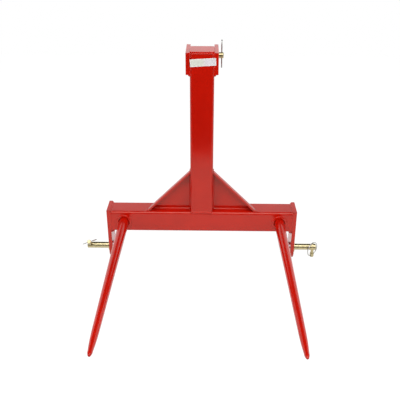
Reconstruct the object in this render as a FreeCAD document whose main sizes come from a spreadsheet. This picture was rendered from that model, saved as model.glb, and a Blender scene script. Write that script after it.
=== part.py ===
"""Bale spear for a tractor's three-point hitch.

The origin is the middle of the lower hitch pins' axis. +X points to the right hand of someone
who faces the tractor from the tines, +Z points up, and the tines reach out towards -Y.
"""

import FreeCAD, Part
import math
import os
import Sketcher

DOCUMENT = FreeCAD.newDocument("BaleSpear")
SIDES = {"left": -1, "right": 1}
TOLERANCE = 1.0e-6

# Driving dimensions, in millimetres and degrees, group by group.
DIMENSIONS = {
    # Square tube of the crossbeam and the mast, and where they stand.
    "tube_size": 76.2,
    "tube_wall": 4.76,
    "tube_corner": 8.0,
    "beam_length": 635.0,
    "beam_height": 120.0,
    "mast_length": 548.2,
    "cap_thickness": 6.35,
    # Paint and the torch leave the plates' edges a little round.
    "plate_edge_radius": 1.0,
    # Ears of the top link, on the mast's sides.
    "ear_thickness": 12.7,
    "ear_width": 68.0,
    "ear_base": 483.0,
    "ear_reach": 36.8,
    # Bent gussets between the mast and the crossbeam.
    "gusset_leg": 152.4,
    "gusset_thickness": 6.35,
    "gusset_depth": 28.35,
    "gusset_setback": 8.0,
    "gusset_bend": 7.9,
    # End plates that carry the lower hitch pins.
    "plate_thickness": 12.7,
    "plate_rise": 4.0,
    # Tines and the tapered sleeves that hold them.
    "tine_setback": 46.5,
    "tine_drop": 1.5,
    "tine_reach": 675.0,
    "tine_base_diameter": 35.5,
    "tine_taper_diameter": 21.0,
    "tine_shoulder_diameter": 13.9,
    "tine_nose_diameter": 8.0,
    "tine_tip_diameter": 2.4,
    "tine_point_length": 95.0,
    "tine_shoulder_length": 19.0,
    "tine_nose_length": 3.0,
    "tine_point_radius": 1100.0,
    "tine_shoulder_radius": 35.0,
    "tine_nose_radius": 4.2,
    "seat_length": 62.0,
    "seat_end_diameter": 25.0,
    "seat_clearance": 0.1,
    "sleeve_diameter": 50.0,
    "sleeve_front": 4.0,
    "sleeve_back": 3.0,
    "sleeve_mouth_diameter": 39.5,
    "sleeve_mouth_depth": 6.0,
    "weld_gap": 0.3,
    "shank_diameter": 22.0,
    "thread_clearance": 0.1,
    "thread_overhang": 4.0,
    "thread_chamfer": 2.0,
    "tine_washer_diameter": 44.0,
    "tine_washer_thickness": 4.0,
    "tine_nut_width": 34.0,
    "tine_nut_height": 18.0,
    # Lower hitch pins and what holds them.
    "hitch_diameter": 22.2,
    "hitch_end": 414.0,
    "hitch_collar_diameter": 38.0,
    "hitch_collar_thickness": 5.5,
    "hitch_chamfer": 1.6,
    "stud_clearance": 0.3,
    "lock_washer_diameter": 37.0,
    "lock_washer_thickness": 5.0,
    "lock_washer_slit": 2.0,
    "hitch_nut_width": 33.3,
    "hitch_nut_height": 19.0,
    "hitch_nut_turn": 45.0,
    # Lynch pins through the hitch pins, and their snap rings.
    "lynch_place": 403.0,
    "lynch_diameter": 11.0,
    "lynch_clearance": 0.3,
    "lynch_tip": 11.9,
    "lynch_chamfer": 1.5,
    "lynch_head_diameter": 14.0,
    "lynch_head_top": 26.0,
    "lynch_head_end": 40.5,
    "lynch_hinge": 35.5,
    "ring_radius": 25.8,
    "ring_wire": 3.5,
    "ring_gap": 5.0,
    "ring_hole_diameter": 6.1,
    # How each lynch pin sits: how far its head leans round the hitch pin, from straight down
    # towards the tines; how far the ring's hinge is turned round the shaft, from the hitch pin's
    # axis; and how far the ring stands open.
    "lynch_lean_left": 137.6,
    "lynch_turn_left": 21.1,
    "lynch_open_left": 18.6,
    "lynch_lean_right": 0.0,
    "lynch_turn_right": -42.0,
    "lynch_open_right": 0.0,
    # Top link pin and its spring clip.
    "top_pin_diameter": 19.05,
    "top_pin_clearance": 0.25,
    "top_pin_overhang": 17.2,
    "top_pin_chamfer": 1.6,
    "top_pin_head_diameter": 26.0,
    "top_pin_head_thickness": 2.0,
    "clip_place": 11.4,
    "clip_wire": 4.0,
    "clip_clearance": 0.3,
    "clip_leg": 40.0,
    "clip_top": 48.0,
    "clip_eye_radius": 10.0,
    "clip_waist_radius": 12.0,
    "clip_flare_radius": 9.0,
    "clip_flare_turn": 70.0,
}

class Size:
    """A length or an angle: its text as a document expression, and the number it stands for."""

    def __init__(self, text, number):
        self.text = text
        self.number = float(number)

    def _with(self, sign, other, number, swapped=False):
        first, second = (other, self) if swapped else (self, other)
        return Size(f"({first.text} {sign} {second.text})", number)

    def __add__(self, other):
        other = as_size(other)
        return self._with("+", other, self.number + other.number)

    def __sub__(self, other):
        other = as_size(other)
        return self._with("-", other, self.number - other.number)

    def __mul__(self, other):
        other = as_size(other)
        return self._with("*", other, self.number * other.number)

    def __truediv__(self, other):
        other = as_size(other)
        return self._with("/", other, self.number / other.number)

    def __neg__(self):
        return self * -1.0


def as_size(value):
    """Returns the value as a Size, so that plain numbers can stand in sums."""
    return value if isinstance(value, Size) else Size(f"({float(value)})", value)


def make_sheet():
    """Writes the driving dimensions into the document's spreadsheet, one alias each."""
    sheet = DOCUMENT.addObject("Spreadsheet::Sheet", "Dims")
    for row, (alias, number) in enumerate(DIMENSIONS.items(), start=1):
        sheet.set(f"A{row}", alias.replace("_", " "))
        sheet.set(f"B{row}", str(number))
        sheet.setAlias(f"B{row}", alias)
    DOCUMENT.recompute()
    return sheet


class Dimensions:
    """Reads the sheet's aliases as sizes: dims.tube_wall is the cell of that alias."""

    def __init__(self, sheet):
        self._sheet = sheet

    def __getattr__(self, alias):
        return Size(f"{self._sheet.Name}.{alias}", getattr(self._sheet, alias))


dims = Dimensions(make_sheet())


# Sizes that follow from the driving ones.

def half(size):
    return size / 2.0


TUBE_HALF = half(dims.tube_size)
BEAM_TOP = dims.beam_height + TUBE_HALF
BEAM_END = half(dims.beam_length)
PLATE_FACE = BEAM_END + dims.plate_thickness
MAST_TOP = BEAM_TOP + dims.mast_length
TOP_LINK_HEIGHT = BEAM_TOP + dims.ear_base + half(dims.ear_width)
TOP_LINK_DEPTH = TUBE_HALF + dims.ear_reach
EAR_FACE = TUBE_HALF + dims.ear_thickness
TINE_HEIGHT = dims.beam_height - dims.tine_drop
TINE_PLACE = BEAM_END - dims.tine_setback
SLEEVE_LENGTH = dims.sleeve_front + dims.tube_size + dims.sleeve_back


def bind(feature, path, size):
    """Ties one property of a feature to the sheet."""
    feature.setExpression(path, as_size(size).text)


def place(feature, x=0.0, y=0.0, z=0.0, rotation=None):
    """Puts a sub-part in its place: its base follows the sheet, its rotation is given."""
    corner = FreeCAD.Vector(*(as_size(value).number for value in (x, y, z)))
    feature.Placement = FreeCAD.Placement(corner, rotation or FreeCAD.Rotation())
    for axis, value in (("x", x), ("y", y), ("z", z)):
        bind(feature, f"Placement.Base.{axis}", value)


def turn_about(axis, degrees):
    """A rotation about one of the frame's axes."""
    return FreeCAD.Rotation(FreeCAD.Vector(*axis), degrees)


ALONG_X = (1, 0, 0)
ALONG_Y = (0, 1, 0)
ALONG_Z = (0, 0, 1)


# Sketches and features.

def new_body(label):
    body = DOCUMENT.addObject("PartDesign::Body", label)
    body.Label = label
    return body


def new_sketch(body, name, plane, lift=0.0):
    """A sketch on one of the body's own origin planes, lifted off it along the plane's normal."""
    support = next(f for f in body.Origin.OriginFeatures if f.Role == plane)
    sketch = body.newObject("Sketcher::SketchObject", name)
    sketch.AttachmentSupport = (support, [""])
    sketch.MapMode = "FlatFace"
    bind(sketch, "AttachmentOffset.Base.z", lift)
    return sketch


def constrain(sketch, size, *terms):
    """Adds one dimension to the sketch and ties it to the sheet."""
    index = sketch.addConstraint(Sketcher.Constraint(*terms, size.number))
    bind(sketch, f"Constraints[{index}]", size)


def pin_point(sketch, geometry, point, spot):
    """Dimensions one point of a line, arc or circle from the sketch's origin."""
    for kind, value in zip(("DistanceX", "DistanceY"), spot):
        constrain(sketch, as_size(value), kind, -1, 1, geometry, point)


def vector_of(spot):
    return FreeCAD.Vector(as_size(spot[0]).number, as_size(spot[1]).number, 0.0)


def add_circle(sketch, centre, radius):
    radius = as_size(radius)
    circle = Part.Circle(vector_of(centre), FreeCAD.Vector(0, 0, 1), radius.number)
    geometry = sketch.addGeometry(circle, False)
    constrain(sketch, radius, "Radius", geometry)
    pin_point(sketch, geometry, 3, centre)


def add_side(sketch, start, end, bend):
    """Adds one side of a loop: a line, or an arc if bend gives its radius and its way round.

    Returns the side's number, and the numbers of its start and end points.
    """
    start_at, end_at = vector_of(start), vector_of(end)
    if bend is None:
        return sketch.addGeometry(Part.LineSegment(start_at, end_at), False), 1, 2
    radius, way = bend
    chord = end_at - start_at
    height = math.sqrt(radius.number ** 2 - (chord.Length / 2.0) ** 2)
    across = FreeCAD.Vector(-chord.y, chord.x, 0.0).normalize() * (height * way)
    centre = (start_at + end_at) * 0.5 + across
    first, last = (start_at, end_at) if way > 0 else (end_at, start_at)
    angles = [math.atan2(p.y - centre.y, p.x - centre.x) for p in (first, last)]
    circle = Part.Circle(centre, FreeCAD.Vector(0, 0, 1), radius.number)
    geometry = sketch.addGeometry(Part.ArcOfCircle(circle, *angles), False)
    constrain(sketch, radius, "Radius", geometry)
    return (geometry, 1, 2) if way > 0 else (geometry, 2, 1)


def add_loop(sketch, corners, bends=None):
    """Adds a closed loop through the corners.

    bends maps a side's number, counted from the first corner, to its radius and its way round:
    1 for anticlockwise and -1 for clockwise.
    """
    bends = bends or {}
    ends = corners[1:] + corners[:1]
    sides = [
        add_side(sketch, start, end, bends.get(number))
        for number, (start, end) in enumerate(zip(corners, ends))
    ]
    for number, (geometry, first, last) in enumerate(sides):
        pin_point(sketch, geometry, first, corners[number])
        after, after_first, _ = sides[(number + 1) % len(sides)]
        sketch.addConstraint(Sketcher.Constraint("Coincident", geometry, last, after, after_first))


def add_rectangle(sketch, low, high):
    add_loop(sketch, [low, (high[0], low[1]), high, (low[0], high[1])])


def pad(body, sketch, length):
    feature = body.newObject("PartDesign::Pad", f"{sketch.Name}Pad")
    feature.Profile = sketch
    feature.Refine = True
    bind(feature, "Length", length)
    return feature


def pocket(body, sketch, length):
    """Cuts the sketch out of the body, against the sketch's normal, and sees that it cut."""
    DOCUMENT.recompute()
    volume = body.Shape.Volume
    feature = body.newObject("PartDesign::Pocket", f"{sketch.Name}Cut")
    feature.Profile = sketch
    feature.Refine = True
    bind(feature, "Length", length)
    DOCUMENT.recompute()
    if not body.Shape.Volume < volume - TOLERANCE:
        raise RuntimeError(f"{sketch.Name} cuts nothing out of {body.Label}")
    return feature


def revolve(body, sketch):
    """Turns the sketch round its vertical axis, which is the body's Z axis."""
    feature = body.newObject("PartDesign::Revolution", f"{sketch.Name}Turn")
    feature.Profile = sketch
    feature.ReferenceAxis = (sketch, ["V_Axis"])
    feature.Angle = 360.0
    feature.Refine = True
    return feature


def round_edges(body, base, radius, wanted):
    """Fillets those edges of a feature that the test picks."""
    DOCUMENT.recompute()
    names = [f"Edge{i}" for i, edge in enumerate(base.Shape.Edges, start=1) if wanted(edge)]
    feature = body.newObject("PartDesign::Fillet", f"{base.Name}Fillet")
    feature.Base = (base, names)
    bind(feature, "Radius", radius)
    return feature


def is_at(place, wanted):
    """True if two places along an axis are the same."""
    return abs(place - wanted) < TOLERANCE


def runs_along(edge, axis):
    """True for a straight edge that is parallel to the axis."""
    if not isinstance(edge.Curve, Part.Line):
        return False
    return abs(abs(edge.Curve.Direction.dot(FreeCAD.Vector(*axis))) - 1.0) < TOLERANCE


# The welded frame.

def square_tube(label, length):
    """A square tube along the body's Z axis, from the XY plane up. Its corners are rounded."""
    body = new_body(label)
    outside = new_sketch(body, f"{label}Outside", "XY_Plane")
    add_rectangle(outside, (-TUBE_HALF, -TUBE_HALF), (TUBE_HALF, TUBE_HALF))
    stock = pad(body, outside, length)
    round_edges(body, stock, dims.tube_corner, lambda edge: runs_along(edge, ALONG_Z))
    inside = new_sketch(body, f"{label}Inside", "XY_Plane", length)
    reach = TUBE_HALF - dims.tube_wall
    add_rectangle(inside, (-reach, -reach), (reach, reach))
    hollow = pocket(body, inside, length)

    def is_inner_corner(edge):
        middle = edge.CenterOfMass
        limit = reach.number + TOLERANCE
        return runs_along(edge, ALONG_Z) and max(abs(middle.x), abs(middle.y)) < limit

    round_edges(body, hollow, dims.tube_corner - dims.tube_wall, is_inner_corner)
    return body


def make_crossbeam():
    """The crossbeam lies along X. Two holes right through it take the tines' sleeves."""
    body = square_tube("crossbeam", dims.beam_length)
    holes = new_sketch(body, "SleeveHoles", "XZ_Plane", TUBE_HALF)
    radius = half(dims.sleeve_diameter) + dims.weld_gap
    for side in SIDES.values():
        middle = BEAM_END + TINE_PLACE * side
        add_circle(holes, (dims.tine_drop, middle), radius)
    pocket(body, holes, dims.tube_size)
    # The body's Z axis turns onto +X and its X axis onto -Z, so a drop is a distance along +X.
    place(body, x=-BEAM_END, z=dims.beam_height, rotation=turn_about(ALONG_Y, 90.0))
    return body


def make_mast():
    """The mast stands on the middle of the crossbeam, flush with its front and its back."""
    body = square_tube("mast", dims.mast_length)
    place(body, z=BEAM_TOP)
    return body


def make_mast_cap():
    """A square plate closes the top of the mast."""
    body = new_body("mast_cap")
    outline = new_sketch(body, "CapOutline", "XY_Plane")
    add_rectangle(outline, (-TUBE_HALF, -TUBE_HALF), (TUBE_HALF, TUBE_HALF))
    plate = pad(body, outline, dims.cap_thickness)
    blank = round_edges(body, plate, dims.tube_corner, lambda edge: runs_along(edge, ALONG_Z))
    top = dims.cap_thickness.number
    round_edges(body, blank, dims.plate_edge_radius, lambda edge: is_at(edge.CenterOfMass.z, top))
    place(body, z=MAST_TOP)
    return body


def round_ended_plate(label, thickness, low, high, end, hole):
    """An upright plate in the YZ plane: a rectangle, a round end on it and a hole in that end.

    low and high are the rectangle's corners, end is the round end's centre and radius, and hole
    is the radius of the hole about the same centre.
    """
    body = new_body(label)
    centre, radius = end
    straight = new_sketch(body, f"{label}Straight", "YZ_Plane")
    add_rectangle(straight, low, high)
    pad(body, straight, thickness)
    rounded = new_sketch(body, f"{label}End", "YZ_Plane")
    add_circle(rounded, centre, radius)
    pad(body, rounded, thickness)
    bore = new_sketch(body, f"{label}Bore", "YZ_Plane", thickness)
    add_circle(bore, centre, hole)
    plate = pocket(body, bore, thickness)

    def is_outline(edge):
        depth = edge.CenterOfMass.x
        return not edge.isClosed() and (is_at(depth, 0.0) or is_at(depth, thickness.number))

    round_edges(body, plate, dims.plate_edge_radius, is_outline)
    return body


def make_ear(name):
    """An ear stands on the mast's side, flush in front, and carries the top link pin behind."""
    centre = (TOP_LINK_DEPTH, TOP_LINK_HEIGHT)
    body = round_ended_plate(
        f"ear_{name}",
        dims.ear_thickness,
        low=(-TUBE_HALF, BEAM_TOP + dims.ear_base),
        high=(TOP_LINK_DEPTH, BEAM_TOP + dims.ear_base + dims.ear_width),
        end=(centre, half(dims.ear_width)),
        hole=half(dims.top_pin_diameter) + dims.top_pin_clearance,
    )
    place(body, x=TUBE_HALF if SIDES[name] > 0 else -EAR_FACE)
    return body


def make_end_plate(name):
    """An end plate closes the crossbeam's end and carries a hitch pin at its round lower end."""
    body = round_ended_plate(
        f"end_plate_{name}",
        dims.plate_thickness,
        low=(-TUBE_HALF, 0.0),
        high=(TUBE_HALF, BEAM_TOP + dims.plate_rise),
        end=((0.0, 0.0), TUBE_HALF),
        hole=half(dims.hitch_diameter) + dims.stud_clearance,
    )
    place(body, x=BEAM_END if SIDES[name] > 0 else -PLATE_FACE)
    return body


def make_gusset(name):
    """A gusset is a triangle of plate whose long side is bent forward into a flange."""
    side = SIDES[name]
    leg, thickness = dims.gusset_leg, dims.gusset_thickness
    body = new_body(f"gusset_{name}")
    outline = new_sketch(body, f"Gusset{name}Outline", "XZ_Plane")
    add_loop(outline, [(0.0, 0.0), (leg * side, 0.0), (0.0, leg)])
    pad(body, outline, dims.gusset_depth)
    # What is cut away leaves the web at the back and the flange along the long side.
    inner = leg - thickness * math.sqrt(2.0) + thickness
    hollow = new_sketch(body, f"Gusset{name}Hollow", "XZ_Plane", dims.gusset_depth)
    corners = [(-thickness * side, -thickness), (inner * side, -thickness)]
    add_loop(hollow, corners + [(-thickness * side, inner)])
    bent = pocket(body, hollow, dims.gusset_depth - thickness)
    slope = FreeCAD.Vector(side, 0.0, -1.0).normalize()

    def is_bend(depth):
        return lambda edge: runs_along(edge, slope) and is_at(edge.CenterOfMass.y, -depth)

    outside = round_edges(body, bent, dims.gusset_bend + thickness, is_bend(0.0))
    round_edges(body, outside, dims.gusset_bend, is_bend(thickness.number))
    web_back = dims.gusset_setback + dims.gusset_depth - TUBE_HALF
    place(body, x=TUBE_HALF * side, y=web_back, z=BEAM_TOP)
    return body


# The tines and what holds them.

def turned_part(label, corners, bends=None):
    """A turned part about the body's Z axis. Its corners are pairs of radius and height."""
    body = new_body(label)
    profile = new_sketch(body, f"{label}Profile", "XZ_Plane")
    add_loop(profile, corners, bends)
    revolve(body, profile)
    return body


def make_tine_sleeve(name):
    """A sleeve is welded through the crossbeam. Its bore tapers to seat the tine."""
    outer, mouth = half(dims.sleeve_diameter), half(dims.sleeve_mouth_diameter)
    wide = half(dims.tine_base_diameter) + dims.seat_clearance
    narrow = half(dims.seat_end_diameter) + dims.seat_clearance
    bore = half(dims.shank_diameter) + dims.weld_gap
    seat_end = dims.sleeve_front + dims.seat_length + dims.weld_gap
    body = turned_part(f"tine_sleeve_{name}", [
        (mouth, 0.0),
        (outer, 0.0),
        (outer, SLEEVE_LENGTH),
        (bore, SLEEVE_LENGTH),
        (bore, seat_end),
        (narrow, seat_end),
        (wide, dims.sleeve_mouth_depth),
    ])
    place(
        body,
        x=TINE_PLACE * SIDES[name],
        y=-TUBE_HALF - dims.sleeve_front,
        z=TINE_HEIGHT,
        rotation=turn_about(ALONG_X, -90.0),
    )
    return body


def make_tine(name):
    """A forged tine: a long taper to a blunt point, a tapered seat and a threaded shank."""
    reach = dims.tine_reach
    shank = half(dims.shank_diameter)
    stack = dims.sleeve_back + dims.tine_washer_thickness + dims.tine_nut_height
    shank_end = -(dims.tube_size + stack + dims.thread_overhang)
    corners = [
        (0.0, shank_end),
        (shank - dims.thread_chamfer, shank_end),
        (shank, shank_end + dims.thread_chamfer),
        (shank, -dims.seat_length),
        (half(dims.seat_end_diameter), -dims.seat_length),
        (half(dims.tine_base_diameter), dims.sleeve_front - dims.sleeve_mouth_depth),
        (half(dims.tine_taper_diameter), reach - dims.tine_point_length),
        (half(dims.tine_shoulder_diameter), reach - dims.tine_shoulder_length),
        (half(dims.tine_nose_diameter), reach - dims.tine_nose_length),
        (half(dims.tine_tip_diameter), reach),
        (0.0, reach),
    ]
    anticlockwise = 1
    bends = {
        6: (dims.tine_point_radius, anticlockwise),
        7: (dims.tine_shoulder_radius, anticlockwise),
        8: (dims.tine_nose_radius, anticlockwise),
    }
    body = turned_part(f"tine_{name}", corners, bends)
    x = TINE_PLACE * SIDES[name]
    place(body, x=x, y=-TUBE_HALF, z=TINE_HEIGHT, rotation=turn_about(ALONG_X, 90.0))
    return body


def washer(label, outer_diameter, bore_diameter, thickness):
    """A plain washer that lies on the XY plane."""
    outer, bore = half(outer_diameter), half(bore_diameter)
    return turned_part(label, [(bore, 0.0), (outer, 0.0), (outer, thickness), (bore, thickness)])


def hex_nut(label, width, height, bore_diameter):
    """A hexagon nut on the XY plane, its corners chamfered at both ends. Flats face +X and -X."""
    bore, flat = half(bore_diameter), half(width)
    corner = width / math.sqrt(3.0)
    stock = corner * 1.01
    chamfer = (stock - flat) * math.tan(math.radians(30.0))
    body = turned_part(label, [
        (bore, 0.0),
        (flat, 0.0),
        (stock, chamfer),
        (stock, height - chamfer),
        (flat, height),
        (bore, height),
    ])
    waste = new_sketch(body, f"{label}Waste", "XY_Plane", height)
    add_circle(waste, (0.0, 0.0), width)
    angles = [math.radians(30.0 + 60.0 * number) for number in range(6)]
    add_loop(waste, [(corner * math.cos(angle), corner * math.sin(angle)) for angle in angles])
    pocket(body, waste, height)
    return body


def make_tine_washer(name):
    """A thick washer behind the crossbeam, on the tine's shank."""
    bore = dims.shank_diameter + dims.weld_gap * 2.0
    thickness = dims.tine_washer_thickness
    body = washer(f"tine_washer_{name}", dims.tine_washer_diameter, bore, thickness)
    x = TINE_PLACE * SIDES[name]
    back = TUBE_HALF + dims.sleeve_back
    place(body, x=x, y=back, z=TINE_HEIGHT, rotation=turn_about(ALONG_X, -90.0))
    return body


def make_tine_nut(name):
    """The nut that draws the tine into its seat."""
    bore = dims.shank_diameter + dims.thread_clearance * 2.0
    body = hex_nut(f"tine_nut_{name}", dims.tine_nut_width, dims.tine_nut_height, bore)
    x = TINE_PLACE * SIDES[name]
    back = TUBE_HALF + dims.sleeve_back + dims.tine_washer_thickness
    place(body, x=x, y=back, z=TINE_HEIGHT, rotation=turn_about(ALONG_X, -90.0))
    return body


# The lower hitch pins and what holds them.

def outward(name, upward=ALONG_Z):
    """Turns a body's Z axis onto the outward direction of its side, and its X axis upward."""
    outer = FreeCAD.Vector(SIDES[name], 0.0, 0.0)
    upper = FreeCAD.Vector(*upward)
    return FreeCAD.Rotation(upper, outer.cross(upper), outer, "ZXY")


class LynchSeat:
    """The directions of one lynch pin and its ring, as unit vectors of the part's frame.

    shaft runs from the head to the tip, hinge is the ring's hinge axis, forward is where the
    ring swings first as it opens, and radius runs from the hinge to the middle of the ring.
    """

    def __init__(self, name):
        lean, turn, opened = (
            math.radians(getattr(dims, f"lynch_{angle}_{name}").number)
            for angle in ("lean", "turn", "open")
        )
        along_pin = FreeCAD.Vector(1.0, 0.0, 0.0)
        across_pin = FreeCAD.Vector(0.0, -math.cos(lean), math.sin(lean))
        self.shaft = FreeCAD.Vector(0.0, math.sin(lean), math.cos(lean))
        self.hinge = along_pin * math.cos(turn) + across_pin * math.sin(turn)
        self.forward = across_pin * math.cos(turn) - along_pin * math.sin(turn)
        self.radius = self.shaft * math.cos(opened) + self.forward * math.sin(opened)


def make_hitch_pin(name):
    """A stud through the end plate with a collar, a bare pin and a cross hole for the lynch pin."""
    radius, collar = half(dims.hitch_diameter), half(dims.hitch_collar_diameter)
    chamfer = dims.hitch_chamfer
    nut_stack = dims.lock_washer_thickness + dims.hitch_nut_height
    stud_end = BEAM_END - nut_stack - dims.thread_overhang
    collar_end = PLATE_FACE + dims.hitch_collar_thickness
    body = turned_part(f"hitch_pin_{name}", [
        (0.0, stud_end),
        (radius - chamfer, stud_end),
        (radius, stud_end + chamfer),
        (radius, PLATE_FACE),
        (collar, PLATE_FACE),
        (collar, collar_end),
        (radius, collar_end),
        (radius, dims.hitch_end - chamfer),
        (radius - chamfer, dims.hitch_end),
        (0.0, dims.hitch_end),
    ])
    cross_hole = new_sketch(body, f"HitchPin{name}Hole", "YZ_Plane", dims.hitch_diameter)
    hole_radius = half(dims.lynch_diameter) + dims.lynch_clearance
    add_circle(cross_hole, (0.0, dims.lynch_place), hole_radius)
    pocket(body, cross_hole, dims.hitch_diameter * 2.0)
    place(body, rotation=outward(name, LynchSeat(name).shaft))
    return body


def make_lock_washer(name):
    """A split spring washer on the stud, inside the end plate."""
    thickness = dims.lock_washer_thickness
    bore = dims.hitch_diameter + dims.stud_clearance * 2.0
    body = washer(f"lock_washer_{name}", dims.lock_washer_diameter, bore, thickness)
    slit = new_sketch(body, f"LockWasher{name}Slit", "XY_Plane", thickness)
    edge = half(dims.lock_washer_slit)
    add_rectangle(slit, (0.0, -edge), (dims.lock_washer_diameter, edge))
    pocket(body, slit, thickness)
    x = (BEAM_END - thickness) * SIDES[name]
    place(body, x=x if SIDES[name] > 0 else -BEAM_END, rotation=turn_about(ALONG_Y, 90.0))
    return body


def make_hitch_nut(name):
    """The nut on the stud. One of its flats faces forward and up."""
    height = dims.hitch_nut_height
    bore = dims.hitch_diameter + dims.thread_clearance * 2.0
    body = hex_nut(f"hitch_nut_{name}", dims.hitch_nut_width, height, bore)
    turn = math.radians(dims.hitch_nut_turn.number)
    flat = (0.0, -math.cos(turn), math.sin(turn))
    inner = BEAM_END - dims.lock_washer_thickness - height
    place(body, x=inner * SIDES[name], rotation=outward(name, flat))
    return body


def make_lynch_pin(name):
    """A lynch pin: a shaft with a thick head, cross-drilled for the ring."""
    seat = LynchSeat(name)
    shaft, head = half(dims.lynch_diameter), half(dims.lynch_head_diameter)
    chamfer = dims.lynch_chamfer
    body = turned_part(f"lynch_pin_{name}", [
        (0.0, -dims.lynch_head_end),
        (head - chamfer, -dims.lynch_head_end),
        (head, chamfer - dims.lynch_head_end),
        (head, -dims.lynch_head_top),
        (shaft, -dims.lynch_head_top),
        (shaft, dims.lynch_tip - chamfer),
        (shaft - chamfer, dims.lynch_tip),
        (0.0, dims.lynch_tip),
    ])
    hole = new_sketch(body, f"LynchPin{name}Hole", "YZ_Plane", dims.lynch_head_diameter)
    add_circle(hole, (0.0, -dims.lynch_hinge), half(dims.ring_hole_diameter))
    pocket(body, hole, dims.lynch_head_diameter * 2.0)
    rotation = FreeCAD.Rotation(seat.hinge, seat.shaft.cross(seat.hinge), seat.shaft, "ZXY")
    place(body, x=dims.lynch_place * SIDES[name], rotation=rotation)
    return body


def make_lynch_ring(name):
    """The snap ring: a ring of wire whose two ends turn in the lynch pin's head."""
    seat = LynchSeat(name)
    ring = DOCUMENT.addObject("Part::Torus", f"lynch_ring_{name}")
    ring.Label = ring.Name
    bind(ring, "Radius1", dims.ring_radius)
    bind(ring, "Radius2", half(dims.ring_wire))
    gap = dims.ring_gap / dims.ring_radius * math.degrees(1.0)
    bind(ring, "Angle3", -gap + 360.0)
    normal = seat.hinge.cross(seat.radius)
    first_end = FreeCAD.Rotation(normal, gap.number / 2.0).multVec(-seat.radius)
    rotation = FreeCAD.Rotation(first_end, normal.cross(first_end), normal, "ZXY")
    middle = [
        dims.ring_radius * along_radius - dims.lynch_hinge * along_shaft
        for along_radius, along_shaft in zip(seat.radius, seat.shaft)
    ]
    x = middle[0] + dims.lynch_place * SIDES[name]
    place(ring, x=x, y=middle[1], z=middle[2], rotation=rotation)
    return ring


# The top link pin and its clip.

def make_top_pin():
    """The top link pin lies through both ears: a low head on the left, a clip on the right."""
    radius, head = half(dims.top_pin_diameter), half(dims.top_pin_head_diameter)
    chamfer = dims.top_pin_chamfer
    shoulder = dims.top_pin_head_thickness
    across_ears = EAR_FACE * 2.0
    end = shoulder + across_ears + dims.top_pin_overhang
    body = turned_part("top_pin", [
        (0.0, 0.0),
        (head - shoulder / 2.0, 0.0),
        (head, shoulder / 2.0),
        (head, shoulder),
        (radius, shoulder),
        (radius, end - chamfer),
        (radius - chamfer, end),
        (0.0, end),
    ])
    hole = new_sketch(body, "ClipHole", "YZ_Plane", dims.top_pin_diameter)
    hole_radius = half(dims.clip_wire) + dims.clip_clearance
    add_circle(hole, (0.0, shoulder + across_ears + dims.clip_place), hole_radius)
    pocket(body, hole, dims.top_pin_diameter * 2.0)
    place(
        body,
        x=-EAR_FACE - shoulder,
        y=TOP_LINK_DEPTH,
        z=TOP_LINK_HEIGHT,
        rotation=turn_about(ALONG_Y, 90.0),
    )
    return body


def arc_edge(centre, radius, first, last):
    """An arc in the YZ plane about a centre (y, z), from one angle to another, in degrees."""
    spots = [
        FreeCAD.Vector(
            0.0,
            centre[0] + radius * math.cos(math.radians(angle)),
            centre[1] + radius * math.sin(math.radians(angle)),
        )
        for angle in (first, (first + last) / 2.0, last)
    ]
    return Part.Arc(*spots).toShape()


def clip_path():
    """The clip's middle line: a straight leg, an eye, a waist, a bow round the pin and a flare."""
    wire = dims.clip_wire.number
    eye, waist, flare = (
        getattr(dims, f"clip_{part}_radius").number for part in ("eye", "waist", "flare")
    )
    bow = half(dims.top_pin_diameter).number + dims.clip_clearance.number + wire / 2.0
    eye_height = dims.clip_top.number - eye - wire / 2.0
    # The waist touches both the eye and the bow: its centre is where two circles cross.
    span = math.hypot(eye, eye_height)
    to_eye, to_bow = eye + waist, bow + waist
    along = (to_bow ** 2 - to_eye ** 2 + span ** 2) / (2.0 * span)
    aside = math.sqrt(to_bow ** 2 - along ** 2)
    unit = (eye / span, eye_height / span)
    centre = (along * unit[0] + aside * unit[1], along * unit[1] - aside * unit[0])
    waist_angle = math.degrees(math.atan2(centre[1], centre[0]))
    eye_end = math.degrees(math.atan2(centre[1] - eye_height, centre[0] - eye))
    flare_angle = math.radians(-waist_angle)
    flare_centre = [(bow + flare) * f(flare_angle) for f in (math.cos, math.sin)]
    leg = Part.LineSegment(
        FreeCAD.Vector(0.0, 0.0, -dims.clip_leg.number),
        FreeCAD.Vector(0.0, 0.0, eye_height),
    )
    turned = 180.0 - waist_angle
    return Part.Wire([
        leg.toShape(),
        arc_edge((eye, eye_height), eye, 180.0, eye_end),
        arc_edge(centre, waist, eye_end + 180.0, waist_angle + 180.0),
        arc_edge((0.0, 0.0), bow, waist_angle, -waist_angle),
        arc_edge(flare_centre, flare, turned, turned + dims.clip_flare_turn.number),
    ])


def make_top_pin_clip():
    """The spring clip: its leg goes down through the top pin and its bow springs round behind."""
    start = FreeCAD.Vector(0.0, 0.0, -dims.clip_leg.number)
    circle = Part.Circle(start, FreeCAD.Vector(0, 0, 1), half(dims.clip_wire).number)
    section = Part.Wire(circle.toShape())
    clip = DOCUMENT.addObject("Part::Feature", "top_pin_clip")
    clip.Label = clip.Name
    clip.Shape = clip_path().makePipeShell([section], True, True)
    place(clip, x=EAR_FACE + dims.clip_place, y=TOP_LINK_DEPTH, z=TOP_LINK_HEIGHT)
    return clip


SINGLE_PARTS = (make_crossbeam, make_mast, make_mast_cap, make_top_pin, make_top_pin_clip)
PAIRED_PARTS = (
    make_ear,
    make_gusset,
    make_end_plate,
    make_tine_sleeve,
    make_tine,
    make_tine_washer,
    make_tine_nut,
    make_hitch_pin,
    make_lock_washer,
    make_hitch_nut,
    make_lynch_pin,
    make_lynch_ring,
)


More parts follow.
